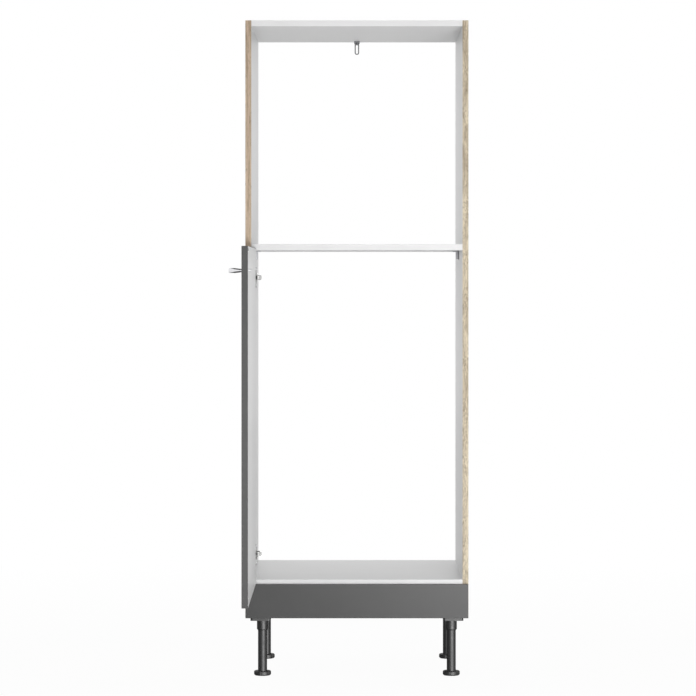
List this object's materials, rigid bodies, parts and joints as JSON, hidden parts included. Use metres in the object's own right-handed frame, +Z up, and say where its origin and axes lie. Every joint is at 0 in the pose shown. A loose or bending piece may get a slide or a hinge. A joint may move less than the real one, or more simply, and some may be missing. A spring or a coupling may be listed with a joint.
{
  "type": "appliance housing cabinet",
  "caption": "Tall kitchen housing cabinet with an upper oven niche, a lower refrigerator niche with a hinged door and bow handle, a fixed bottom front and adjustable legs.",
  "frame": {"origin": "at floor level, under the middle of the box round the cabinet with its door open at a right angle", "axes": "+Z up, +X to the right seen from the front, +Y from the front to the back"},
  "size_m": [0.6216, 1.158, 1.77],
  "materials": {
    "white_board": "white melamine face on chipboard, slight sheen",
    "white_band": "white edge band",
    "oak_decor": "rough-sawn light oak decor, matt",
    "grey_face": "plain mid grey decor, matt",
    "grey_band": "plain mid grey edge band, matt",
    "beech": "raw turned beech",
    "cast_zinc": "raw cast zinc",
    "nickel_steel": "nickel plated pressed steel",
    "zinc_steel": "bright zinc plated steel",
    "polished_chrome": "polished chrome",
    "black_plastic": "black moulded plastic, half gloss",
    "clear_soft": "clear soft elastomer"
  },
  "bodies": {
    "carcass": {"side_panel_left": "white_board", "side_panel_right": "white_board", "base_board": "white_board", "fridge_floor": "white_board", "oven_shelf": "white_board", "top_board": "white_board", "false_front": "white_board", "base_board_edge_band": "white_band", "fridge_floor_edge_band": "white_band", "oven_shelf_edge_band": "white_band", "top_board_edge_band": "white_band", "side_decor_left": "oak_decor", "side_decor_right": "oak_decor", "side_edge_band_left": "oak_decor", "side_edge_band_right": "oak_decor", "false_front_face": "grey_face", "false_front_edge_band": "grey_band", "wood_dowels": "beech", "cam_housings": "cast_zinc", "cam_bolts": "zinc_steel", "shelf_support_left": "zinc_steel", "shelf_support_right": "zinc_steel", "shelf_support_screws": "zinc_steel", "false_front_bracket_left": "zinc_steel", "false_front_bracket_right": "zinc_steel", "false_front_screws": "zinc_steel", "wall_bracket": "zinc_steel", "wall_bracket_screw": "zinc_steel", "hinge_plate_screws": "zinc_steel", "hinge_adjusting_screws": "zinc_steel", "hinge_arm_pins": "zinc_steel", "leg_screws": "zinc_steel", "hinge_plate_lower": "nickel_steel", "hinge_plate_upper": "nickel_steel", "hinge_arm_lower": "nickel_steel", "hinge_arm_upper": "nickel_steel", "leg_socket_front_left": "black_plastic", "leg_tube_front_left": "black_plastic", "leg_socket_front_right": "black_plastic", "leg_tube_front_right": "black_plastic", "leg_socket_rear_left": "black_plastic", "leg_tube_rear_left": "black_plastic", "leg_socket_rear_right": "black_plastic", "leg_tube_rear_right": "black_plastic"},
    "hinge_link": {"hinge_link_lower": "nickel_steel", "hinge_link_upper": "nickel_steel"},
    "door": {"door_panel": "white_board", "door_face": "grey_face", "door_edge_band": "grey_band", "door_handle": "polished_chrome", "handle_screws": "zinc_steel", "door_bumpers": "clear_soft", "hinge_cup_lower": "nickel_steel", "hinge_cup_upper": "nickel_steel", "hinge_cup_screws": "zinc_steel", "hinge_cup_pins": "zinc_steel"},
    "foot_front_left": {"leg_foot_front_left": "black_plastic"},
    "foot_front_right": {"leg_foot_front_right": "black_plastic"},
    "foot_rear_left": {"leg_foot_rear_left": "black_plastic"},
    "foot_rear_right": {"leg_foot_rear_right": "black_plastic"}
  },
  "joints": [
    {"name": "hinge_link_swing", "type": "hinge", "parent": "carcass", "child": "hinge_link", "pos_m": [-0.24775, 0.0215, 0.707], "axis": [0, 0, 1], "range_deg": [-73.2, 4.1]},
    {"name": "door_swing", "type": "hinge", "parent": "hinge_link", "child": "door", "pos_m": [-0.25475, 0.00005, 0.707], "axis": [0, 0, 1], "range_deg": [-9.1, 163.2]},
    {"name": "foot_front_left_screw", "type": "slide", "parent": "carcass", "child": "foot_front_left", "axis": [0, 0, -1], "range_m": [0, 0.025]},
    {"name": "foot_front_right_screw", "type": "slide", "parent": "carcass", "child": "foot_front_right", "axis": [0, 0, -1], "range_m": [0, 0.025]},
    {"name": "foot_rear_left_screw", "type": "slide", "parent": "carcass", "child": "foot_rear_left", "axis": [0, 0, -1], "range_m": [0, 0.025]},
    {"name": "foot_rear_right_screw", "type": "slide", "parent": "carcass", "child": "foot_rear_right", "axis": [0, 0, -1], "range_m": [0, 0.025]}
  ],
  "couplings": [
    {"joint": "hinge_link_swing", "follows": "door_swing", "ratio": -0.44851}
  ]
}
